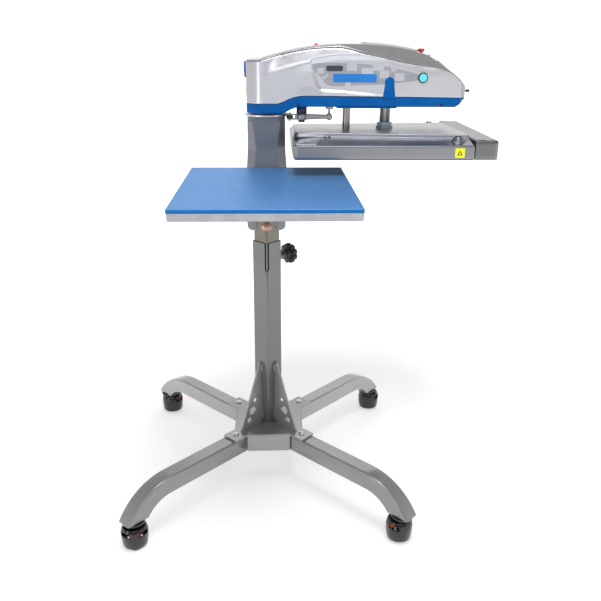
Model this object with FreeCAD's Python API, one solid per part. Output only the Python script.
import FreeCAD, Part
import math
import os
from FreeCAD import Vector

# Pneumatic swing-away heat press on a pedestal with levelling casters. Millimetres, +Z up, floor at z = 0.
# Everything is drawn about the column's axis, then moved to the middle of the whole object's plan when saved.
# The head is drawn swung out along +X; the operator stands on the -Y side.

# Column and base
TUBE_SIZE = 50.8
TUBE_WALL = 3.0
TUBE_TOP = 637.0
TUBE_CORNER = 4.0
SLOT_WIDTH = 10.0
SLOT_BOTTOM = 567.0
INNER_SIZE = 44.5
INNER_BOTTOM = 420.0
INNER_TOP = 740.0
INNER_CORNER = 3.0
PLATE_TOP = 144.0
PLATE_THICK = 5.0
PLATE_HALF = 88.6
PLATE_ARM_REACH = 141.0
PLATE_ARM_WIDTH = 44.0
SKIRT_HALF = 54.0
SKIRT_BOTTOM = 97.0
GUSSET_THICK = 5.0
GUSSET_TOP = 319.0
GUSSET_REACH = 101.5
GUSSET_HOLES = ((50.0, 217.0, 6.0), (60.0, 190.7, 11.0), (72.0, 167.0, 7.0))

# Legs, drawn along +X and turned to the diagonals
LEG_WIDTH = 41.0
LEG_WALL = 3.0
LEG_TOP = PLATE_TOP - PLATE_THICK
LEG_BOTTOM = 97.0
LEG_START = 62.0
LEG_BEND_TOP = 335.0
LEG_BEND_BOTTOM = 345.0
LEG_END = 466.0
LEG_END_INNER = 411.0
LEG_END_Z = 64.0
LEG_EDGE = 5.0
END_PLATE_THICK = 5.0
LEG_BOLT_AT = 119.5
LEG_BOLT_R = 4.0
LEG_ANGLES = {"rear_right": 45, "rear_left": 135, "front_left": 225, "front_right": 315}

# Casters
CASTER_AT = 438.0
CASTER_TRAIL = 5.5
CASTER_HEADING = {"rear_right": 101, "rear_left": 101, "front_left": 11, "front_right": -79}
DRUM_R = 31.0
DRUM_INNER_R = 28.2
DRUM_FOOT_R = 27.8
DRUM_MIDDLE = 34.0
WINDOW_HALF = 14.3
WINDOW_Z = (37.0, 47.0)
DRUM_BOTTOM = 5.0
DRUM_TOP = 54.0
STEM_R = 5.0
STEM_CLEARANCE = 0.05
WHEEL_R = 15.0
WHEEL_WIDTH = 18.0
WHEEL_OFFSET = 10.0
WHEEL_Z = 17.0
AXLE_R = 3.0
FOOT_OFFSET = -14.0
FOOT_R = 11.0
FOOT_THICK = 5.0
SCREW_R = 4.0
THUMB_R = 13.6
THUMB_Z = (37.0, 46.0)

# Height knob, on the tube's rear right face
KNOB_Z = 588.0
BOSS_R = 10.0
BOSS_END = 62.0
KNOB_R = 26.0
KNOB_END = 86.0
KNOB_LOBES = 8
STUD_R = 5.0

# Frame casting and lower platen
PIVOT_Y = 328.0
HUB_FRONT = -6.0
HUB_HALF = 46.0
HUB_BOTTOM = 664.0
ARM_HALF = 40.0
ARM_BOTTOM = 684.0
UPRIGHT_TOP = 902.0
UPRIGHT_SECTIONS = ((664.0, 62.0, 44.0), (816.0, 51.5, 28.5), (902.0, 51.0, 39.0))
UPRIGHT_COLLAR = 10.0
CROSS_BOLT_Z = 678.0
PLATEN_X = 406.4
PLATEN_Y = 508.0
PLATEN_BOTTOM = 746.0
PAD_BOTTOM = 763.0
PAD_TOP = 772.0
PLATEN_INSET = 1.5
SHAFT_R = 20.0
RING_R = 60.0
RING_TOP = 908.0

# Head
HEAD_NEAR = 228.0
HEAD_FAR = 428.0
HEAD_WALL = 3.0
HEAD_REAR = -51.5
HEAD_NOSE = 527.0
REAR_CHAMFER = 31.0
SIDE_END = 509.0
NOSE_CHAMFER = 27.0
ROOF_PEAK = 1088.0
SCREEN_TOP = Vector(427, 0, 1062)
SCREEN_BOTTOM = Vector(500, 0, 1008)
SHELL_REAR_BOTTOM = 914.6
SHELL_BOTTOM = 932.0
SEAM_REAR = 938.5
SEAM_MIDDLE = 959.5
SEAM_FRONT = 956.0
TONGUE_X = (305.5, 336.5)
TONGUE_TOP = 1008.0
BUTTON_X = 406.8
BUTTON_Z = 1006.0
BUTTON_R = 10.3
BUTTON_FLANGE_R = 13.2
RELEASE_X = 418.0
GUIDE_X = 221.0
CYLINDER_X = 328.0
GUIDE_R = 10.5
ROD_R = 10.0
NECK_R = 14.5
NECK_BOTTOM = 886.0
BARREL_R = 38.0
BEAM_Z = (938.0, 992.0)
REGULATOR_Z = 1022.0
INLET_Z = 965.0
INLET_Y = PIVOT_Y + 45
INLET_R = 9.0
SOCKET_R = 5.7
KNOB_AXLE_R = 8.0
KNOB_LENGTH = 6.5
TOGGLE_X = 530.0
TOGGLE_Z = 969.0
TOGGLE_R = 5.4
SHELL_SCREW_X = (84.0, 460.0)
SHELL_SCREW_Z = 938.5
SHELL_SCREW_R = 2.0
PAN_PLATE_X = (185.0, 345.0)
PAN_PLATE_HALF = 94.0
PAN_PLATE_THICK = 3.0
PAN_LEVELS = (900.0, 950.0)
PAN_HOLE_R = 23.0
PAN_PIVOT_R = 44.0
PAN_GUIDE_R = 16.3
PAN_DETENT_R = 6.3
RUNNING = 0.05

# Detent arm and roller
DETENT_PIVOT_X = 96.0
DETENT_Y = 300.0
ROLLER_X = 63.6
DETENT_END_X = 171.0
ARM_Z = (895.5, 907.0)
ROLLER_R = 9.0

# Press carriage
COVER_X = (68.0, 529.0)
COVER_HALF = 210.0
COVER_BOTTOM = 815.0
SKIRT_TOP = 848.0
DECK_FOOT = 858.0
DECK_TOP = 868.0
DECK_X = (74.0, 529.0)
DECK_HALF = (108.0, 156.0)
BAR_X = (529.0, 590.0)
BAR_Z = (812.0, 861.0)
HEATER_X = (82.0, 574.0)
HEATER_HALF = 200.0
HEATER_Z = (812.0, 828.0)
POCKET_TOP = 840.0

# Where the column's axis lies in the saved frame, whose origin is the middle of the whole object's plan
STAND_LEFT = 343.3
STAND_FRONT = CASTER_AT * math.sqrt(0.5) + CASTER_TRAIL * math.cos(math.radians(11)) + DRUM_R
COLUMN_X = (STAND_LEFT - BAR_X[1]) / 2
COLUMN_Y = (STAND_FRONT - PIVOT_Y - COVER_HALF) / 2


def plan(x, y):
    return Vector(x, y, 0)


def side(x, z):
    return Vector(x, 0, z)


def outline(place, start, *steps):
    """A flat face. A step is the end of a straight run, or (middle, end) of an arc."""
    edges = []
    here = place(*start)
    for step in steps + (start,):
        if isinstance(step[0], tuple):
            end = place(*step[1])
            edges.append(Part.Arc(here, place(*step[0]), end).toShape())
        else:
            end = place(*step)
            edges.append(Part.LineSegment(here, end).toShape())
        here = end
    return Part.Face(Part.Wire(edges))


def upright(face, low, high):
    """A plan outline as a solid between two heights."""
    return face.translated(Vector(0, 0, low)).extrude(Vector(0, 0, high - low))


def across(face, low, high):
    """A side outline as a solid between two values of y."""
    return face.translated(Vector(0, low, 0)).extrude(Vector(0, high - low, 0))


def box(x, y, z):
    return Part.makeBox(x[1] - x[0], y[1] - y[0], z[1] - z[0], Vector(x[0], y[0], z[0]))


def rod(radius, start, end):
    start, end = Vector(*start), Vector(*end)
    return Part.makeCylinder(radius, (end - start).Length, start, end - start)


def pillar(radius, low, high, x=0.0, y=0.0):
    return rod(radius, (x, y, low), (x, y, high))


def turned(shape, degrees, centre=(0.0, 0.0)):
    copy = shape.copy()
    copy.rotate(Vector(centre[0], centre[1], 0), Vector(0, 0, 1), degrees)
    return copy


def mirrored(shape):
    """The same piece on the far side of the head."""
    return shape.mirror(Vector(0, PIVOT_Y, 0), Vector(0, 1, 0))


def regular(sides, across_flats, low, high, x=0.0, y=0.0):
    corner = across_flats / 2 / math.cos(math.pi / sides)
    turns = [2 * math.pi * k / sides for k in range(sides)]
    points = [(x + corner * math.cos(t), y + corner * math.sin(t)) for t in turns]
    return upright(outline(plan, *points), low, high)


def straight_edges(shape, direction, test=lambda box: True):
    """The straight edges along a direction whose bounding box passes a test."""
    chosen = []
    for edge in shape.Edges:
        if not isinstance(edge.Curve, Part.Line):
            continue
        along = (edge.lastVertex().Point - edge.firstVertex().Point).normalize()
        if abs(abs(along.dot(Vector(*direction))) - 1) < 1e-6 and test(edge.BoundBox):
            chosen.append(edge)
    return chosen


def round_edges(shape, radius, direction, test=lambda box: True):
    return shape.makeFillet(radius, straight_edges(shape, direction, test))


def square_tube_solid(size, corner, low, high):
    """A square bar with rounded corners, turned so that a corner faces the front."""
    half = size / 2
    bar = box((-half, half), (-half, half), (low, high))
    return turned(round_edges(bar, corner, (0, 0, 1)), 45)


def outer_tube():
    tube = square_tube_solid(TUBE_SIZE, TUBE_CORNER, PLATE_TOP, TUBE_TOP)
    tube = tube.cut(square_tube_solid(TUBE_SIZE - 2 * TUBE_WALL, 1.5, PLATE_TOP, TUBE_TOP))
    half = SLOT_WIDTH / 2
    slot = box((-half, half), (-TUBE_SIZE, -TUBE_SIZE / 4), (SLOT_BOTTOM + half, TUBE_TOP))
    slot = slot.fuse(rod(half, (0, -TUBE_SIZE, SLOT_BOTTOM + half), (0, -TUBE_SIZE / 4, SLOT_BOTTOM + half)))
    boss = along_knob(BOSS_R, TUBE_SIZE / 2 - TUBE_WALL, BOSS_END)
    bore = along_knob(STUD_R + RUNNING, 0, BOSS_END)
    return tube.cut(slot).fuse(boss).cut(bore).removeSplitter()


def along_knob(radius, start, end):
    """A round bar on the knob's axis, which leaves the tube's rear right face squarely."""
    lean = math.sqrt(0.5)
    return rod(radius, (start * lean, start * lean, KNOB_Z), (end * lean, end * lean, KNOB_Z))


def height_knob():
    hub_start = BOSS_END + 1
    disc_start = KNOB_END - 16
    disc = pillar(KNOB_R - 5, disc_start, KNOB_END)
    for k in range(KNOB_LOBES):
        angle = 2 * math.pi * k / KNOB_LOBES
        reach = KNOB_R - 7
        disc = disc.fuse(pillar(7, disc_start, KNOB_END, reach * math.cos(angle), reach * math.sin(angle)))
    knob = disc.removeSplitter().fuse(pillar(12, hub_start, disc_start)).removeSplitter()
    knob = knob.cut(pillar(15, KNOB_END - 3, KNOB_END))
    stud_end = hub_start + 15
    knob = knob.cut(pillar(STUD_R, hub_start, stud_end))
    stud = pillar(STUD_R, INNER_SIZE / 2 + 0.1, stud_end)
    pieces = []
    for piece in (knob, stud):
        piece.rotate(Vector(), Vector(0, 1, 0), 90)
        piece = turned(piece, 45)
        pieces.append(piece.translated(Vector(0, 0, KNOB_Z)))
    return pieces


def plate_outline(half, reach, arm_width):
    """A square with an arm out of each corner."""
    lean = math.sqrt(0.5)
    arm = arm_width / 2
    step = half - arm / lean
    points = []
    for quarter in range(4):
        corner = [(half, step), ((reach + arm) * lean, (reach - arm) * lean)]
        corner += [((reach - arm) * lean, (reach + arm) * lean), (step, half)]
        c, s = math.cos(math.pi / 2 * quarter), math.sin(math.pi / 2 * quarter)
        points += [(x * c - y * s, x * s + y * c) for x, y in corner]
    return outline(plan, *points)


def base_plate():
    plate = upright(plate_outline(PLATE_HALF, PLATE_ARM_REACH, PLATE_ARM_WIDTH), LEG_TOP, PLATE_TOP)
    skirt = box((PLATE_HALF - PLATE_THICK, PLATE_HALF), (-SKIRT_HALF, SKIRT_HALF), (SKIRT_BOTTOM, PLATE_TOP))
    for quarter in range(4):
        plate = plate.fuse(turned(skirt, 90 * quarter))
    plate = plate.removeSplitter()
    for angle in LEG_ANGLES.values():
        plate = plate.cut(turned(pillar(LEG_BOLT_R + 0.5, LEG_TOP, PLATE_TOP, LEG_BOLT_AT), angle))

    def outer_bend(b):
        on_side = abs(abs(b.XMin) - PLATE_HALF) < 0.01 or abs(abs(b.YMin) - PLATE_HALF) < 0.01
        return abs(b.ZMin - PLATE_TOP) < 0.01 and abs(b.ZMax - PLATE_TOP) < 0.01 and on_side

    bends = straight_edges(plate, (1, 0, 0), outer_bend) + straight_edges(plate, (0, 1, 0), outer_bend)
    bends = [e for e in bends if e.Length > 1.5 * SKIRT_HALF]
    return plate.makeFillet(PLATE_THICK - 0.5, bends)


def gussets():
    """The two fins that brace the tube towards the front legs."""
    face = TUBE_SIZE / 2
    nose = 5.0
    slope_start = (face + 2 * nose, GUSSET_TOP - 2 * nose)
    bend = (face + 1.4 * nose, GUSSET_TOP - 0.6 * nose)
    fin = outline(side, (face, PLATE_TOP), (GUSSET_REACH, PLATE_TOP), (GUSSET_REACH - 2, PLATE_TOP + 6),
                  slope_start, (bend, (face + 0.6 * nose, GUSSET_TOP)), (face, GUSSET_TOP))
    fin = across(fin, -GUSSET_THICK / 2, GUSSET_THICK / 2)
    for x, z, radius in GUSSET_HOLES:
        fin = fin.cut(rod(radius, (x, -GUSSET_THICK, z), (x, GUSSET_THICK, z)))
    return [turned(fin, LEG_ANGLES[name]) for name in ("front_left", "front_right")]


def bend_radius(run, drop):
    """The radius of an arc that leaves a level line and reaches a point that far along and down."""
    return (run * run + drop * drop) / (2 * drop)


def leg_arc(start_x, start_z, radius, end_x):
    """The middle and end of an arc that leaves a level line at start_x and curves down to end_x."""
    def height(x):
        return start_z - radius + math.sqrt(radius * radius - (x - start_x) ** 2)

    middle = start_x + 0.6 * (end_x - start_x)
    return (middle, height(middle)), (end_x, height(end_x))


def leg():
    top_radius = bend_radius(LEG_END - LEG_BEND_TOP, LEG_TOP - LEG_END_Z)
    low_radius = bend_radius(LEG_END_INNER - LEG_BEND_BOTTOM, LEG_BOTTOM - LEG_END_Z)
    down_top = leg_arc(LEG_BEND_TOP, LEG_TOP, top_radius, LEG_END)
    down_low = leg_arc(LEG_BEND_BOTTOM, LEG_BOTTOM, low_radius, LEG_END_INNER)
    half = LEG_WIDTH / 2
    outer = outline(side, (LEG_START, LEG_BOTTOM), (LEG_BEND_BOTTOM, LEG_BOTTOM), down_low,
                    (LEG_END, LEG_END_Z), (down_top[0], (LEG_BEND_TOP, LEG_TOP)), (LEG_START, LEG_TOP))
    solid = across(outer, -half, half)

    def top_edge(edge):
        b = edge.BoundBox
        level = b.YMax - b.YMin < 0.01 and b.XMax - b.XMin > 100
        return level and (b.ZMin > LEG_BOTTOM + 1 or b.ZMax > LEG_TOP - 1)

    solid = solid.makeFillet(LEG_EDGE, [e for e in solid.Edges if top_edge(e)])
    inner_arc = leg_arc(LEG_BEND_TOP, LEG_TOP - LEG_WALL, top_radius - LEG_WALL, LEG_END - 1.2)
    below = LEG_END_Z - 60
    hollow = outline(side, (LEG_START - 1, below), (LEG_END - 1.2, below), inner_arc[1],
                     (inner_arc[0], (LEG_BEND_TOP, LEG_TOP - LEG_WALL)), (LEG_START - 1, LEG_TOP - LEG_WALL))
    channel = solid.cut(across(hollow, LEG_WALL - half, half - LEG_WALL))
    plate_top = LEG_END_Z + END_PLATE_THICK
    end_plate = box((LEG_END_INNER - 20, LEG_END + 10), (-half, half), (LEG_END_Z, plate_top))
    channel = channel.fuse(end_plate.common(solid)).removeSplitter()
    channel = channel.cut(pillar(STEM_R + STEM_CLEARANCE, LEG_END_Z - 1, plate_top + 1, CASTER_AT))
    return channel.cut(pillar(LEG_BOLT_R + 0.5, LEG_TOP - 10, LEG_TOP + 1, LEG_BOLT_AT))


def leg_bolts():
    pieces = []
    for angle in LEG_ANGLES.values():
        shank = pillar(LEG_BOLT_R, LEG_TOP - 18, PLATE_TOP, LEG_BOLT_AT)
        head = Part.makeSphere(12, Vector(LEG_BOLT_AT, 0, PLATE_TOP - 7))
        head = head.common(pillar(8, PLATE_TOP, PLATE_TOP + 10, LEG_BOLT_AT))
        nut = regular(6, 13, LEG_TOP - LEG_WALL - 6.5, LEG_TOP - LEG_WALL, LEG_BOLT_AT)
        nut = nut.cut(pillar(LEG_BOLT_R + 0.02, LEG_TOP - 20, LEG_TOP, LEG_BOLT_AT))
        pieces += [turned(shank.fuse(head).removeSplitter(), angle), turned(nut, angle)]
    return pieces


def caster_stems():
    plate_top = LEG_END_Z + END_PLATE_THICK
    pieces = []
    for angle in LEG_ANGLES.values():
        stem = pillar(STEM_R, 50, plate_top + 12, CASTER_AT).fuse(pillar(8, 49, 52, CASTER_AT))
        stem = stem.removeSplitter()
        nut = regular(6, 17, plate_top, plate_top + 8, CASTER_AT)
        nut = nut.cut(pillar(STEM_R + 0.02, plate_top, plate_top + 8, CASTER_AT))
        pieces += [turned(stem, angle), turned(nut, angle)]
    return pieces


def drum_form(foot_radius, radius, low, high, crown):
    """A turned bun, narrower at its foot. The crown is how far its upper edge is rounded in."""
    belly = (foot_radius + 0.72 * (radius - foot_radius), low + 0.42 * (DRUM_MIDDLE - low))
    brow = (radius - 0.22 * crown, high - 0.4 * (high - DRUM_MIDDLE))
    face = outline(side, (0, low), (foot_radius, low), (belly, (radius, DRUM_MIDDLE)),
                   (brow, (radius - crown, high)), (0, high))
    return face.revolve(Vector(), Vector(0, 0, 1), 360)


def caster_housing():
    """The black drum, whose swivel disc lies off its middle, with two windows and a fork for the wheel."""
    form = drum_form(DRUM_FOOT_R, DRUM_R, DRUM_BOTTOM, DRUM_TOP, 5.0)
    drum = form.cut(drum_form(DRUM_FOOT_R - 2, DRUM_INNER_R, DRUM_BOTTOM - 0.01, 48, 0.5))
    fork = box((-WHEEL_WIDTH / 2 - 4, WHEEL_WIDTH / 2 + 4), (-3, DRUM_R), (DRUM_BOTTOM + 1, 49))
    fork = fork.cut(box((-WHEEL_WIDTH / 2 - 0.6, WHEEL_WIDTH / 2 + 0.6), (-5, DRUM_R), (0, 35)))
    thumb_room = pillar(THUMB_R + 1.5, THUMB_Z[0] - 1, THUMB_Z[1] + 1, 0, FOOT_OFFSET)
    body = drum.fuse(fork.common(form).cut(thumb_room))
    body = body.fuse(pillar(22, DRUM_TOP, 57, 0, CASTER_TRAIL)).fuse(pillar(26, 57, 63, 0, CASTER_TRAIL))
    body = body.removeSplitter()
    window = box((-WINDOW_HALF, WINDOW_HALF), (-DRUM_R - 2, -24), WINDOW_Z)
    for angle in (-45, 45):
        body = body.cut(turned(window, angle))
    body = body.cut(pillar(STEM_R + STEM_CLEARANCE, 45, 64, 0, CASTER_TRAIL))
    body = body.cut(pillar(8 + STEM_CLEARANCE * 4, 47, 52.2, 0, CASTER_TRAIL))
    body = body.cut(pillar(SCREW_R + 0.3, 47, 53, 0, FOOT_OFFSET))
    body = body.cut(rod(AXLE_R, (-14, WHEEL_OFFSET, WHEEL_Z), (14, WHEEL_OFFSET, WHEEL_Z)))
    axle = rod(AXLE_R, (-13, WHEEL_OFFSET, WHEEL_Z), (13, WHEEL_OFFSET, WHEEL_Z))
    return [body, axle]


def caster_wheel():
    half = WHEEL_WIDTH / 2
    wheel = rod(WHEEL_R, (-half, WHEEL_OFFSET, WHEEL_Z), (half, WHEEL_OFFSET, WHEEL_Z))
    wheel = wheel.makeFillet(2.5, [e for e in wheel.Edges if e.BoundBox.XLength < 0.01])
    return wheel.cut(rod(AXLE_R + RUNNING, (-half, WHEEL_OFFSET, WHEEL_Z), (half, WHEEL_OFFSET, WHEEL_Z)))


def thumbwheel():
    wheel = pillar(THUMB_R, *THUMB_Z, 0, FOOT_OFFSET)
    for k in range(12):
        angle = 2 * math.pi * k / 12
        x, y = (THUMB_R + 0.8) * math.cos(angle), FOOT_OFFSET + (THUMB_R + 0.8) * math.sin(angle)
        wheel = wheel.cut(pillar(1.8, *THUMB_Z, x, y))
    return wheel.cut(pillar(SCREW_R + RUNNING, *THUMB_Z, 0, FOOT_OFFSET))


def levelling_foot():
    pad = pillar(FOOT_R, 0, FOOT_THICK, 0, FOOT_OFFSET)
    pad = pad.makeFillet(1.2, [e for e in pad.Edges if e.BoundBox.ZMin > FOOT_THICK - 0.01])
    return pad.fuse(pillar(SCREW_R, FOOT_THICK, 48, 0, FOOT_OFFSET)).removeSplitter()


def at_caster(shape, name):
    """A caster's piece, drawn about its drum's middle, carried to its leg's end and turned to its heading."""
    angle = math.radians(LEG_ANGLES[name])
    shape = turned(shape.translated(Vector(0, -CASTER_TRAIL, 0)), CASTER_HEADING[name])
    return shape.translated(Vector(CASTER_AT * math.cos(angle), CASTER_AT * math.sin(angle), 0))


def inner_tube():
    tube = square_tube_solid(INNER_SIZE, INNER_CORNER, INNER_BOTTOM, INNER_TOP)
    tube = tube.cut(square_tube_solid(INNER_SIZE - 2 * TUBE_WALL, 1.0, INNER_BOTTOM, INNER_TOP))
    return tube.cut(rod(6.1, (0, -50, CROSS_BOLT_Z), (0, 50, CROSS_BOLT_Z)))


def cross_bolt():
    head_start = -INNER_SIZE * math.sqrt(0.5)
    head = Part.makeSphere(17, Vector(0, head_start + 9, CROSS_BOLT_Z))
    head = head.common(rod(12.5, (0, head_start - 9, CROSS_BOLT_Z), (0, head_start + 1.2, CROSS_BOLT_Z)))
    shank = rod(6, (0, head_start, CROSS_BOLT_Z), (0, 48, CROSS_BOLT_Z))
    return head.fuse(shank).removeSplitter()


def octagon_section(z, half, flat):
    signs = ((1, -1), (1, 1), (-1, 1), (-1, -1))
    points = []
    for sx, sy in signs:
        pair = [(sx * half, sy * flat), (sx * flat, sy * half)]
        points += pair if sx * sy > 0 else pair[::-1]
    points = [Vector(x, PIVOT_Y + y, z) for x, y in points]
    return Part.makePolygon(points + points[:1])


def frame_casting():
    """The hub that grips the inner tube, the arm under the lower platen, and the eight-sided upright."""
    hub = box((-HUB_HALF, HUB_HALF), (HUB_FRONT, 70), (HUB_BOTTOM, PLATEN_BOTTOM))
    hub = round_edges(hub, 13, (0, 1, 0), lambda b: b.ZMin < HUB_BOTTOM + 1)
    arm = box((-ARM_HALF, ARM_HALF), (60, PIVOT_Y), (ARM_BOTTOM, PLATEN_BOTTOM))
    arm = round_edges(arm, 8, (0, 1, 0), lambda b: b.ZMin < ARM_BOTTOM + 1)
    sections = [octagon_section(*section) for section in UPRIGHT_SECTIONS]
    column = Part.makeLoft(sections[:2], True, True).fuse(Part.makeLoft(sections[1:], True, True))
    casting = hub.fuse(arm).fuse(column)
    for sign in (-1, 1):
        x, z = (sign * ARM_HALF - 7, sign * ARM_HALF + 7), (ARM_BOTTOM + 14, PLATEN_BOTTOM - 12)
        pocket = box(x, (84, PIVOT_Y - 76), z)
        casting = casting.cut(round_edges(pocket, 6, (1, 0, 0)))
    collar = pillar(2 * RING_R, UPRIGHT_TOP - UPRIGHT_COLLAR, UPRIGHT_TOP, 0, PIVOT_Y)
    collar = collar.cut(pillar(RING_R - 0.5, UPRIGHT_TOP - UPRIGHT_COLLAR, UPRIGHT_TOP, 0, PIVOT_Y))
    casting = casting.cut(collar)
    casting = casting.cut(square_tube_solid(INNER_SIZE, INNER_CORNER, HUB_BOTTOM, INNER_TOP))
    casting = casting.cut(rod(6, (0, 0, CROSS_BOLT_Z), (0, 48, CROSS_BOLT_Z)))
    casting = casting.cut(pillar(SHAFT_R, UPRIGHT_TOP - 90, UPRIGHT_TOP, 0, PIVOT_Y))
    for x, y in platen_screw_places():
        casting = casting.cut(pillar(4, HUB_BOTTOM, PLATEN_BOTTOM, x, y))
        casting = casting.cut(pillar(6.6, HUB_BOTTOM, ARM_BOTTOM + 10, x, y))
    return casting.removeSplitter()


def platen_screw_places():
    return [(x, y) for x in (-26, 26) for y in (100, 220)]


def platen_screws():
    pieces = []
    for x, y in platen_screw_places():
        screw = pillar(3.95, ARM_BOTTOM + 10, PLATEN_BOTTOM + 11.9, x, y)
        screw = screw.fuse(pillar(6.5, ARM_BOTTOM + 2, ARM_BOTTOM + 10, x, y))
        socket = regular(6, 6, ARM_BOTTOM + 2, ARM_BOTTOM + 6, x, y)
        pieces.append(screw.removeSplitter().cut(socket))
    return pieces


def pivot_shaft():
    shaft = pillar(SHAFT_R, UPRIGHT_TOP - 90, BEAM_Z[1] + 4, 0, PIVOT_Y)
    cap = regular(6, 46, BEAM_Z[1] + 0.3, BEAM_Z[1] + 8, 0, PIVOT_Y)
    return shaft.fuse(cap).removeSplitter()


def pivot_ring():
    ring = pillar(RING_R, UPRIGHT_TOP, RING_TOP, 0, PIVOT_Y)
    ring = ring.makeFillet(1.5, [e for e in ring.Edges if e.BoundBox.ZLength < 0.01])
    return ring.cut(pillar(SHAFT_R, UPRIGHT_TOP, RING_TOP, 0, PIVOT_Y))


def lower_platen():
    x, y = PLATEN_X / 2 - PLATEN_INSET, PLATEN_Y / 2 - PLATEN_INSET
    plate = box((-x, x), (-y, y), (PLATEN_BOTTOM, PAD_BOTTOM))
    plate = round_edges(plate, 3, (0, 0, 1))
    plate = plate.makeChamfer(1, [e for e in plate.Edges if e.BoundBox.ZMax < PLATEN_BOTTOM + 0.01])
    for sx, sy in platen_screw_places():
        plate = plate.cut(pillar(4, PLATEN_BOTTOM, PLATEN_BOTTOM + 12, sx, sy))
    return plate


def silicone_pad():
    pad = box((-PLATEN_X / 2, PLATEN_X / 2), (-PLATEN_Y / 2, PLATEN_Y / 2), (PAD_BOTTOM, PAD_TOP))
    return round_edges(pad, 2, (0, 0, 1))


def head_profile():
    """The head's whole side outline, silver cover, roof and blue shell together."""
    roof = ((95, ROOF_PEAK - 10), (235, ROOF_PEAK))
    return outline(side, (HEAD_REAR, SHELL_REAR_BOTTOM), (40, SHELL_REAR_BOTTOM), (60, 925),
                   ((76, 930.2), (95, SHELL_BOTTOM)), (498, SHELL_BOTTOM), (HEAD_NOSE, 952), (HEAD_NOSE, 986),
                   (SCREEN_BOTTOM.x, SCREEN_BOTTOM.z),
                   (SCREEN_TOP.x, SCREEN_TOP.z), ((333, 1081.5), (235, ROOF_PEAK)),
                   (roof[0], (-18, 1049)), (HEAD_REAR, 1049))


def head_plan(inset):
    near, far = HEAD_NEAR + inset, HEAD_FAR - inset
    rear, nose = HEAD_REAR + inset, HEAD_NOSE - inset
    cut = inset * (math.sqrt(2) - 1)
    slim = inset * 0.55
    return outline(plan, (rear, HEAD_NEAR + REAR_CHAMFER + cut), (HEAD_REAR + REAR_CHAMFER + cut, near),
                   (SIDE_END - slim, near), (nose, HEAD_NEAR + NOSE_CHAMFER + slim / 2),
                   (nose, HEAD_FAR - NOSE_CHAMFER - slim / 2), (SIDE_END - slim, far),
                   (HEAD_REAR + REAR_CHAMFER + cut, far), (rear, HEAD_FAR - REAR_CHAMFER - cut))


def roof_facets(inset):
    """The two slanting cuts that grow towards the nose along the roof's edges."""
    low_start, low_end = Vector(182, HEAD_NEAR, 1079), Vector(481, HEAD_NEAR, 1020)
    top = Vector(427, HEAD_NEAR + 52, 1062)
    normal = (low_end - low_start).cross(top - low_start).normalize()
    if normal.z < 0:
        normal = normal * -1
    block = Part.makeBox(1400, 1400, 200, Vector(-700, -700, 0))
    block.Placement = FreeCAD.Placement(low_start - normal * inset, FreeCAD.Rotation(Vector(0, 0, 1), normal))
    return [block, mirrored(block)]


def head_form(inset):
    profile = head_profile()
    if inset:
        profile = profile.makeOffset2D(-inset, join=2)
    form = across(profile, HEAD_NEAR, HEAD_FAR).common(upright(head_plan(inset), 800, 1200))
    for facet in roof_facets(inset):
        form = form.cut(facet)
    return form


def below_seam():
    """The space under the line between the blue shell and the silver cover."""
    far = HEAD_NOSE + 20
    face = outline(side, (HEAD_REAR - 20, 880), (far, 880), (far, SEAM_FRONT), (108, SEAM_MIDDLE),
                   ((84, 957.5), (62, 951.5)), (36, SEAM_REAR), (HEAD_REAR - 20, SEAM_REAR))
    return across(face, HEAD_NEAR - 20, HEAD_FAR + 20)


def roof_space():
    """The space that the roof panel takes out of the shell."""
    top = ROOF_PEAK + 30
    face = outline(side, (-18, 1045), ((85, 1070), (182, 1079)), (481, 1020), (504, 999),
                   (HEAD_NOSE + 20, 999), (HEAD_NOSE + 20, top), (-18, top))
    return across(face, HEAD_NEAR - 20, HEAD_FAR + 20)


def side_tongue():
    """The blue tongue that rises from the shell over the cover's side."""
    low, high = TONGUE_X
    middle, shoulder = (low + high) / 2, TONGUE_TOP - 11
    face = outline(side, (low, SEAM_FRONT - 8), (high, SEAM_FRONT - 8), (high, SEAM_FRONT + 2),
                   (high - 4, shoulder), ((middle, TONGUE_TOP), (low + 4, shoulder)), (low, SEAM_FRONT + 2))
    tongue = across(face, HEAD_NEAR - 2, HEAD_NEAR)
    return [tongue, mirrored(tongue)]


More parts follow.
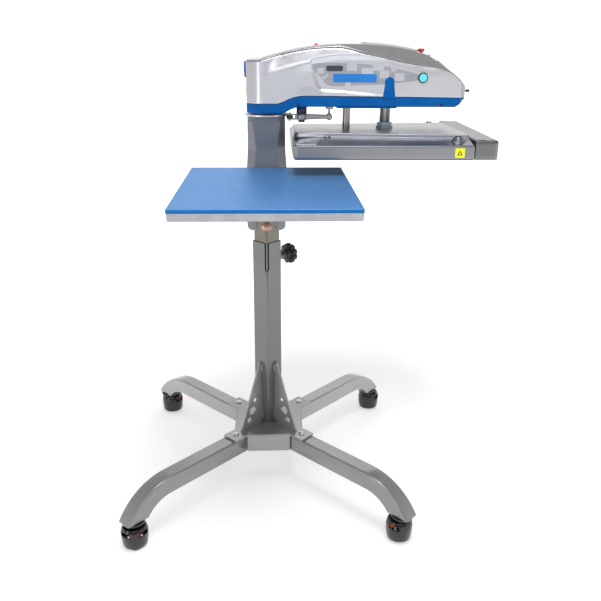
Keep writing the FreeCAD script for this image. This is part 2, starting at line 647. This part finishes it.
def head_shells():
    """The silver cover, the roof panel and the blue lower shell, cut from one hollow form."""
    hollow = head_form(0).cut(head_form(HEAD_WALL))
    seam, roof = below_seam(), roof_space()
    lower = hollow.common(seam)
    x, y = PAN_PLATE_X, (PIVOT_Y - PAN_PLATE_HALF, PIVOT_Y + PAN_PLATE_HALF)
    plate = box(x, y, (SHELL_BOTTOM - PAN_PLATE_THICK, SHELL_BOTTOM + 0.5))
    plate = round_edges(plate, 10, (0, 0, 1))
    lower = lower.fuse(plate.cut(pillar(PAN_HOLE_R, *PAN_LEVELS, GUIDE_X, PIVOT_Y)))
    for tongue in side_tongue():
        lower = lower.fuse(tongue)
    for radius, x, y in ((PAN_PIVOT_R, 0, PIVOT_Y), (PAN_GUIDE_R, GUIDE_X, PIVOT_Y),
                         (NECK_R + 0.5, CYLINDER_X, PIVOT_Y), (PAN_DETENT_R, DETENT_PIVOT_X, DETENT_Y)):
        lower = lower.cut(pillar(radius, *PAN_LEVELS, x, y))
    for x, y, inward in shell_screw_places():
        ends = [(x, y + reach * inward, SHELL_SCREW_Z) for reach in (-5, 5)]
        lower = lower.cut(rod(SHELL_SCREW_R + 0.02, *ends))
    upper = hollow.cut(seam)
    panel = upper.common(roof)
    cover = upper.cut(roof)
    stem = pillar(5 + RUNNING, 1040, 1100, RELEASE_X, PIVOT_Y)
    panel = panel.cut(stem)
    hole = rod(BUTTON_R + 1.5, (BUTTON_X, HEAD_NEAR - 1, BUTTON_Z), (BUTTON_X, HEAD_NEAR + 5, BUTTON_Z))
    cover = cover.cut(hole).cut(mirrored(hole))
    holes = ((KNOB_AXLE_R + 0.2, HEAD_REAR, PIVOT_Y, REGULATOR_Z), (INLET_R, HEAD_REAR, INLET_Y, INLET_Z),
             (TOGGLE_R + 1.6, HEAD_NOSE, PIVOT_Y, TOGGLE_Z))
    for radius, x, y, z in holes:
        cover = cover.cut(rod(radius, (x - 5, y, z), (x + 5, y, z)))
    return cover_panels(cover), panel.removeSplitter(), lower.removeSplitter()


def cover_panels(cover):
    """The silver cover's four sheets: rear, near side, far side and nose, with a hair's gap between them."""
    gap = 0.3
    rear_end, nose_start = HEAD_REAR + REAR_CHAMFER + HEAD_WALL, SIDE_END - HEAD_WALL
    levels, wide = (900, 1100), (HEAD_NEAR - 5, HEAD_FAR + 5)
    middle = (rear_end + gap, nose_start - gap)
    rooms = [box((HEAD_REAR - 5, rear_end), wide, levels), box(middle, (wide[0], PIVOT_Y), levels),
             box(middle, (PIVOT_Y, wide[1]), levels), box((nose_start, HEAD_NOSE + 5), wide, levels)]
    return [cover.common(room).removeSplitter() for room in rooms]


def shell_screw_places():
    return [(x, y, inward) for x in SHELL_SCREW_X for y, inward in ((HEAD_NEAR, 1), (HEAD_FAR, -1))]


def shell_screws():
    pieces = []
    for x, y, inward in shell_screw_places():
        shank = rod(SHELL_SCREW_R, (x, y, SHELL_SCREW_Z), (x, y + 8 * inward, SHELL_SCREW_Z))
        head = rod(3.6, (x, y - 1.6 * inward, SHELL_SCREW_Z), (x, y, SHELL_SCREW_Z))
        pieces.append(shank.fuse(head).removeSplitter())
    return pieces


def head_frame():
    """The cast beam inside the covers: the pivot boss behind, the cylinder and guide bores in front."""
    beam = box((-30, 384), (PIVOT_Y - 48, PIVOT_Y + 48), BEAM_Z)
    beam = round_edges(beam, 12, (0, 0, 1))
    boss = pillar(42, RING_TOP + 0.3, BEAM_Z[1], 0, PIVOT_Y)
    frame = beam.fuse(boss).removeSplitter()
    frame = frame.cut(pillar(26, RING_TOP, BEAM_Z[1], 0, PIVOT_Y))
    frame = frame.cut(pillar(16, BEAM_Z[0], BEAM_Z[1], GUIDE_X, PIVOT_Y))
    frame = frame.cut(pillar(BARREL_R, BEAM_Z[0], BEAM_Z[1], CYLINDER_X, PIVOT_Y))
    lighten = box((60, 190), (PIVOT_Y - 30, PIVOT_Y + 30), (BEAM_Z[0] + 14, BEAM_Z[1]))
    return frame.cut(round_edges(lighten, 10, (0, 0, 1)))


def pivot_bushes():
    pieces = []
    for low, high in ((RING_TOP + 0.3, RING_TOP + 32), (BEAM_Z[1] - 32, BEAM_Z[1])):
        pieces.append(pillar(26, low, high, 0, PIVOT_Y).cut(pillar(SHAFT_R + RUNNING, low, high, 0, PIVOT_Y)))
    return pieces


def screen_outline(length, inset):
    """The screen's outline, x down the slope. It narrows towards the roof, as the slope does."""
    low, top, wide = length - inset, 43 - inset, 60 - inset
    knee = 24 + inset / 2
    return outline(plan, (inset, -top), (knee, -wide), (low, -wide), (low, wide), (knee, wide), (inset, top))


def touch_screen():
    """The flat screen on the sloping front of the roof."""
    margin = (SCREEN_BOTTOM - SCREEN_TOP) * 0.04
    top, bottom = SCREEN_TOP + margin, SCREEN_BOTTOM - margin
    length, thick = (bottom - top).Length, 3.0
    screen = round_edges(upright(screen_outline(length, 0), 0, thick), 5, (0, 0, 1))
    screen = screen.cut(upright(screen_outline(length, 8), thick - 0.8, thick))
    slope = math.degrees(math.atan2(top.z - bottom.z, bottom.x - top.x))
    screen.rotate(Vector(), Vector(0, 1, 0), slope)
    return screen.translated(top + Vector(0, PIVOT_Y, 0))


def air_cylinder():
    barrel = pillar(BARREL_R, BEAM_Z[0], 1066, CYLINDER_X, PIVOT_Y)
    neck = pillar(NECK_R, NECK_BOTTOM, BEAM_Z[0], CYLINDER_X, PIVOT_Y)
    body = barrel.fuse(neck).removeSplitter()
    body = body.cut(pillar(34, BEAM_Z[0] + 12, 1060, CYLINDER_X, PIVOT_Y))
    return body.cut(pillar(ROD_R + RUNNING, NECK_BOTTOM - 1, BEAM_Z[0] + 13, CYLINDER_X, PIVOT_Y))


def guide_bush():
    sleeve = pillar(16, SHELL_BOTTOM - 0.3, BEAM_Z[1], GUIDE_X, PIVOT_Y)
    collar = pillar(22.5, SHELL_BOTTOM - 9, SHELL_BOTTOM - 0.3, GUIDE_X, PIVOT_Y)
    collar = collar.makeFillet(1.5, [e for e in collar.Edges if e.BoundBox.ZMax < SHELL_BOTTOM - 8])
    bush = sleeve.fuse(collar).removeSplitter()
    return bush.cut(pillar(GUIDE_R + RUNNING, SHELL_BOTTOM - 10, BEAM_Z[1], GUIDE_X, PIVOT_Y))


def button_bezel():
    """The black collar and closed barrel that a start button slides in."""
    def along(radius, start, end):
        return rod(radius, (BUTTON_X, HEAD_NEAR + start, BUTTON_Z), (BUTTON_X, HEAD_NEAR + end, BUTTON_Z))

    flange = along(BUTTON_FLANGE_R, -2.5, 0)
    flange = flange.makeFillet(1.0, [e for e in flange.Edges if e.BoundBox.YMax < HEAD_NEAR - 2.4])
    body = flange.fuse(along(BUTTON_R + 1.5, 0, 22)).removeSplitter()
    return body.cut(along(BUTTON_R + RUNNING, -3, 19))


def start_button():
    start, end = HEAD_NEAR - 5.5, HEAD_NEAR + 14
    cap = rod(BUTTON_R, (BUTTON_X, start, BUTTON_Z), (BUTTON_X, end, BUTTON_Z))
    return cap.makeFillet(1.2, [e for e in cap.Edges if e.BoundBox.YMax < start + 0.01])


def release_button():
    """The red mushroom button on the roof. Its stem runs in the roof panel."""
    head = pillar(9, 1069.5, 1077, RELEASE_X, PIVOT_Y)
    head = head.makeFillet(2.5, [e for e in head.Edges if e.BoundBox.ZMin > 1076.9])
    return head.fuse(pillar(5, 1050, 1070, RELEASE_X, PIVOT_Y)).removeSplitter()


def regulator_body():
    start = HEAD_REAR + HEAD_WALL
    return box((start, start + 30), (PIVOT_Y - 24, PIVOT_Y + 24), (REGULATOR_Z - 20, REGULATOR_Z + 20))


def regulator_knob():
    end = HEAD_REAR - KNOB_LENGTH
    knob = rod(21, (end, PIVOT_Y, REGULATOR_Z), (HEAD_REAR - 0.6, PIVOT_Y, REGULATOR_Z))
    knob = knob.makeFillet(1.5, [e for e in knob.Edges if e.BoundBox.XMax < end + 0.1])
    for k in range(18):
        angle = 2 * math.pi * k / 18
        y, z = PIVOT_Y + 22 * math.cos(angle), REGULATOR_Z + 22 * math.sin(angle)
        knob = knob.cut(rod(1.8, (end - 1, y, z), (HEAD_REAR - 2, y, z)))
    axle = rod(KNOB_AXLE_R, (HEAD_REAR - 1, PIVOT_Y, REGULATOR_Z), (HEAD_REAR + 2.5, PIVOT_Y, REGULATOR_Z))
    return knob.fuse(axle).removeSplitter()


def air_inlet():
    """The brass bulkhead fitting for the air hose, with its threaded socket open to the rear."""
    y, z = INLET_Y, INLET_Z
    body = rod(INLET_R, (HEAD_REAR, y, z), (HEAD_REAR + 16, y, z))
    flange = regular(6, 22, 0, 5)
    flange.rotate(Vector(), Vector(0, 1, 0), -90)
    body = body.fuse(flange.translated(Vector(HEAD_REAR, y, z))).removeSplitter()
    return body.cut(rod(SOCKET_R, (HEAD_REAR - 6, y, z), (HEAD_REAR + 11, y, z)))


def nose_toggle():
    """The short lever on the nose. It rocks about the barrel at its base."""
    barrel = rod(TOGGLE_R, (TOGGLE_X, PIVOT_Y - 3.5, TOGGLE_Z), (TOGGLE_X, PIVOT_Y + 3.5, TOGGLE_Z))
    lever = rod(2.4, (TOGGLE_X, PIVOT_Y, TOGGLE_Z), (TOGGLE_X + 20, PIVOT_Y, TOGGLE_Z))
    tip = rod(3.6, (TOGGLE_X + 19, PIVOT_Y, TOGGLE_Z), (TOGGLE_X + 29, PIVOT_Y, TOGGLE_Z))
    tip = tip.makeFillet(1.5, [e for e in tip.Edges if e.BoundBox.XLength < 0.01])
    return barrel.fuse(lever).fuse(tip).removeSplitter()


def detent_arm():
    """The lever under the head: a fork for the roller, the eye on its pivot, and a ball at the far end."""
    low, high = ARM_Z
    middle = (low + high) / 2
    eye = pillar(14, low - 2, high + 1.5, DETENT_PIVOT_X, DETENT_Y)
    end = DETENT_END_X - 5
    profile = outline(side, (DETENT_PIVOT_X, low - 2), (end, low + 0.5), (end, high - 0.5),
                      (DETENT_PIVOT_X, high + 1.5))
    bar = across(profile, DETENT_Y - 6, DETENT_Y + 6)
    bar = bar.makeFillet(2, [e for e in bar.Edges if e.BoundBox.XLength > 50])
    neck = box((ROLLER_X, DETENT_PIVOT_X), (DETENT_Y - 7, DETENT_Y + 7), (low - 2, high + 1.5))
    fork = neck.fuse(pillar(7, low - 2, high + 1.5, ROLLER_X, DETENT_Y))
    gap = box((ROLLER_X - 10, ROLLER_X + 14), (DETENT_Y - 20, DETENT_Y + 20), (middle - 4.6, middle + 4.6))
    knuckle = rod(8.8, (DETENT_END_X, DETENT_Y - 7, middle), (DETENT_END_X, DETENT_Y + 7, middle))
    knuckle = knuckle.makeFillet(3, [e for e in knuckle.Edges if e.BoundBox.YLength < 0.01])
    link = pillar(3, middle, SHELL_BOTTOM - 8, DETENT_END_X, DETENT_Y)
    cup = pillar(10, SHELL_BOTTOM - 10, SHELL_BOTTOM - 1, DETENT_END_X, DETENT_Y)
    arm = fork.cut(gap).fuse([eye, bar, knuckle, link, cup]).removeSplitter()
    arm = arm.cut(pillar(6 + RUNNING, low - 3, high + 3, DETENT_PIVOT_X, DETENT_Y))
    pin = pillar(3.2, low - 5, high + 5, ROLLER_X, DETENT_Y)
    return [arm.cut(pin), pin]


def detent_pivot():
    """The blue boss under the head and the black bolt that the detent arm turns on."""
    boss = pillar(14, ARM_Z[1] + 2.5, SHELL_BOTTOM - 1.4, DETENT_PIVOT_X, DETENT_Y)
    bolt = pillar(6, ARM_Z[0] - 3, SHELL_BOTTOM + 5, DETENT_PIVOT_X, DETENT_Y)
    bolt = bolt.fuse(pillar(9, ARM_Z[0] - 8, ARM_Z[0] - 2.5, DETENT_PIVOT_X, DETENT_Y)).removeSplitter()
    return [boss.cut(bolt), bolt]


def detent_roller():
    middle = (ARM_Z[0] + ARM_Z[1]) / 2
    roller = pillar(ROLLER_R, middle - 4.2, middle + 4.2, ROLLER_X, DETENT_Y)
    return roller.cut(pillar(3.2 + RUNNING, middle - 5, middle + 5, ROLLER_X, DETENT_Y))


def guide_shaft():
    shaft = pillar(GUIDE_R, DECK_TOP, 1070, GUIDE_X, PIVOT_Y)
    return shaft.makeChamfer(1.5, [e for e in shaft.Edges if e.BoundBox.ZMin > 1069.9])


def cylinder_rod():
    piston_top = 1054.0
    piston = pillar(34 - RUNNING, piston_top - 12, piston_top, CYLINDER_X, PIVOT_Y)
    return piston.fuse(pillar(ROD_R, DECK_TOP + 6, piston_top - 6, CYLINDER_X, PIVOT_Y)).removeSplitter()


def rod_coupling():
    """The clamp nut that joins the cylinder's rod to the platen."""
    nut = regular(6, 40, DECK_TOP, DECK_TOP + 8, CYLINDER_X, PIVOT_Y)
    cap = regular(6, 36, DECK_TOP + 9, DECK_TOP + 17, CYLINDER_X, PIVOT_Y)
    neck = pillar(15, DECK_TOP + 8, DECK_TOP + 9, CYLINDER_X, PIVOT_Y)
    nut = nut.fuse(neck).fuse(cap).removeSplitter()
    return nut.cut(pillar(ROD_R, DECK_TOP + 6, DECK_TOP + 18, CYLINDER_X, PIVOT_Y))


def heater_pocket():
    x = (HEATER_X[0] - 1.5, HEATER_X[1] + 1.5)
    y = (PIVOT_Y - HEATER_HALF - 1.5, PIVOT_Y + HEATER_HALF + 1.5)
    return box(x, y, (HEATER_Z[0] - 5, POCKET_TOP))


def platen_cover():
    """The cast cover over the heater: upright sides, a sloping shoulder, and a raised deck."""
    near, far = PIVOT_Y - COVER_HALF, PIVOT_Y + COVER_HALF
    skirt = box(COVER_X, (near, far), (COVER_BOTTOM, SKIRT_TOP))
    skirt = round_edges(skirt, 12, (0, 0, 1), lambda b: b.XMin < COVER_X[0] + 1)
    rim = [(COVER_X[0] + 4, near + 4), (COVER_X[1], near + 2), (COVER_X[1], far - 2),
           (COVER_X[0] + 4, far - 4)]
    crease = [(DECK_X[0], PIVOT_Y - DECK_HALF[0]), (DECK_X[1], PIVOT_Y - DECK_HALF[1])]
    crease += [(DECK_X[1], PIVOT_Y + DECK_HALF[1]), (DECK_X[0], PIVOT_Y + DECK_HALF[0])]
    low = Part.makePolygon([Vector(x, y, SKIRT_TOP) for x, y in rim + rim[:1]])
    high = Part.makePolygon([Vector(x, y, DECK_FOOT) for x, y in crease + crease[:1]])
    shoulder = Part.makeLoft([low, high], True, True)
    deck = upright(outline(plan, *crease), DECK_FOOT, DECK_TOP)
    deck = round_edges(deck, 14, (0, 0, 1), lambda b: b.XMin < DECK_X[0] + 1)
    cover = skirt.fuse(shoulder).fuse(deck).removeSplitter()
    for sign in (-1, 1):
        cover = cover.fuse(pillar(15, SKIRT_TOP - 2, DECK_TOP - 2, 492, PIVOT_Y + 175 * sign))
    cover = cover.cut(heater_pocket()).removeSplitter()
    for x, y in cover_screw_places():
        cover = cover.cut(pillar(3.02, POCKET_TOP - 1, DECK_FOOT, x, y))
        cover = cover.cut(pillar(5.2, DECK_FOOT - 5, DECK_TOP, x, y))
    return cover


def cover_screw_places():
    return [(154, PIVOT_Y - 123), (165, PIVOT_Y - 123), (154, PIVOT_Y + 123), (165, PIVOT_Y + 123)]


def cover_screws():
    pieces = []
    for x, y in cover_screw_places():
        screw = pillar(2.95, HEATER_Z[1] - 7.9, DECK_FOOT - 5, x, y)
        screw = screw.fuse(pillar(5, DECK_FOOT - 5, DECK_FOOT - 1, x, y))
        pieces.append(screw.removeSplitter())
    return pieces


def front_bar():
    near, far = PIVOT_Y - COVER_HALF, PIVOT_Y + COVER_HALF
    bar = box(BAR_X, (near, far), BAR_Z)
    long_edges = straight_edges(bar, (0, 1, 0), lambda b: b.ZMin > BAR_Z[0] + 1)
    bar = bar.makeFillet(6, straight_edges(bar, (0, 0, 1)) + long_edges)
    return bar.cut(heater_pocket())


def heater_plate():
    plate = box(HEATER_X, (PIVOT_Y - HEATER_HALF, PIVOT_Y + HEATER_HALF), HEATER_Z)
    plate = round_edges(plate, 8, (0, 0, 1))
    for x, y in cover_screw_places():
        plate = plate.cut(pillar(3, HEATER_Z[1] - 8, HEATER_Z[1], x, y))
    for x in (130, 520):
        for y in (PIVOT_Y - 150, PIVOT_Y + 150):
            plate = plate.fuse(pillar(9, HEATER_Z[1] - 1, POCKET_TOP, x, y))
    return plate.removeSplitter()


def all_nodes():
    cover, panel, lower = head_shells()
    button, bezel = start_button(), button_bezel()
    nodes = {
        "outer_tube": [outer_tube()],
        "base_plate": [base_plate()],
        "gusset_fins": gussets(),
        "leg_bolts": leg_bolts(),
        "caster_stems": caster_stems(),
        "height_knob": height_knob(),
        "inner_tube": [inner_tube()],
        "cross_bolt": [cross_bolt()],
        "frame_casting": [frame_casting()],
        "pivot_shaft": [pivot_shaft()],
        "pivot_ring": [pivot_ring()],
        "lower_platen": [lower_platen()],
        "silicone_pad": [silicone_pad()],
        "platen_screws": platen_screws(),
        "head_frame": [head_frame()],
        "pivot_bushes": pivot_bushes(),
        "head_cover": cover,
        "roof_panel": [panel],
        "lower_shell": [lower],
        "shell_screws": shell_screws(),
        "touch_screen": [touch_screen()],
        "air_cylinder": [air_cylinder()],
        "guide_bush": [guide_bush()],
        "button_bezels": [bezel, mirrored(bezel)],
        "start_button_left": [button],
        "start_button_right": [mirrored(button)],
        "release_button": [release_button()],
        "air_regulator": [regulator_body(), air_inlet()],
        "regulator_knob": [regulator_knob()],
        "nose_toggle": [nose_toggle()],
        "detent_arm": detent_arm(),
        "detent_pivot": detent_pivot(),
        "detent_roller": [detent_roller()],
        "guide_shaft": [guide_shaft()],
        "cylinder_rod": [cylinder_rod()],
        "rod_coupling": [rod_coupling()],
        "platen_cover": [platen_cover()],
        "cover_screws": cover_screws(),
        "front_bar": [front_bar()],
        "heater_plate": [heater_plate()],
    }
    for name, angle in LEG_ANGLES.items():
        nodes["leg_" + name] = [turned(leg(), angle)]
        nodes["caster_housing_" + name] = [at_caster(piece, name) for piece in caster_housing()]
        nodes["caster_wheel_" + name] = [at_caster(caster_wheel(), name)]
        nodes["thumbwheel_" + name] = [at_caster(thumbwheel(), name)]
        nodes["levelling_foot_" + name] = [at_caster(levelling_foot(), name)]
    return nodes


def save(name, pieces):
    solids = [solid for piece in pieces for solid in piece.Solids]
    shape = solids[0] if len(solids) == 1 else Part.makeCompound(solids)
    shape = shape.translated(Vector(COLUMN_X, COLUMN_Y, 0))
    shape.exportStep(os.path.join("parts", name + ".step"))
    if not shape.isValid():
        print(name, "is not valid")


def main():
    os.makedirs("parts", exist_ok=True)
    nodes = all_nodes()
    for name, pieces in nodes.items():
        save(name, pieces)
    print(len(nodes), "nodes")


main()
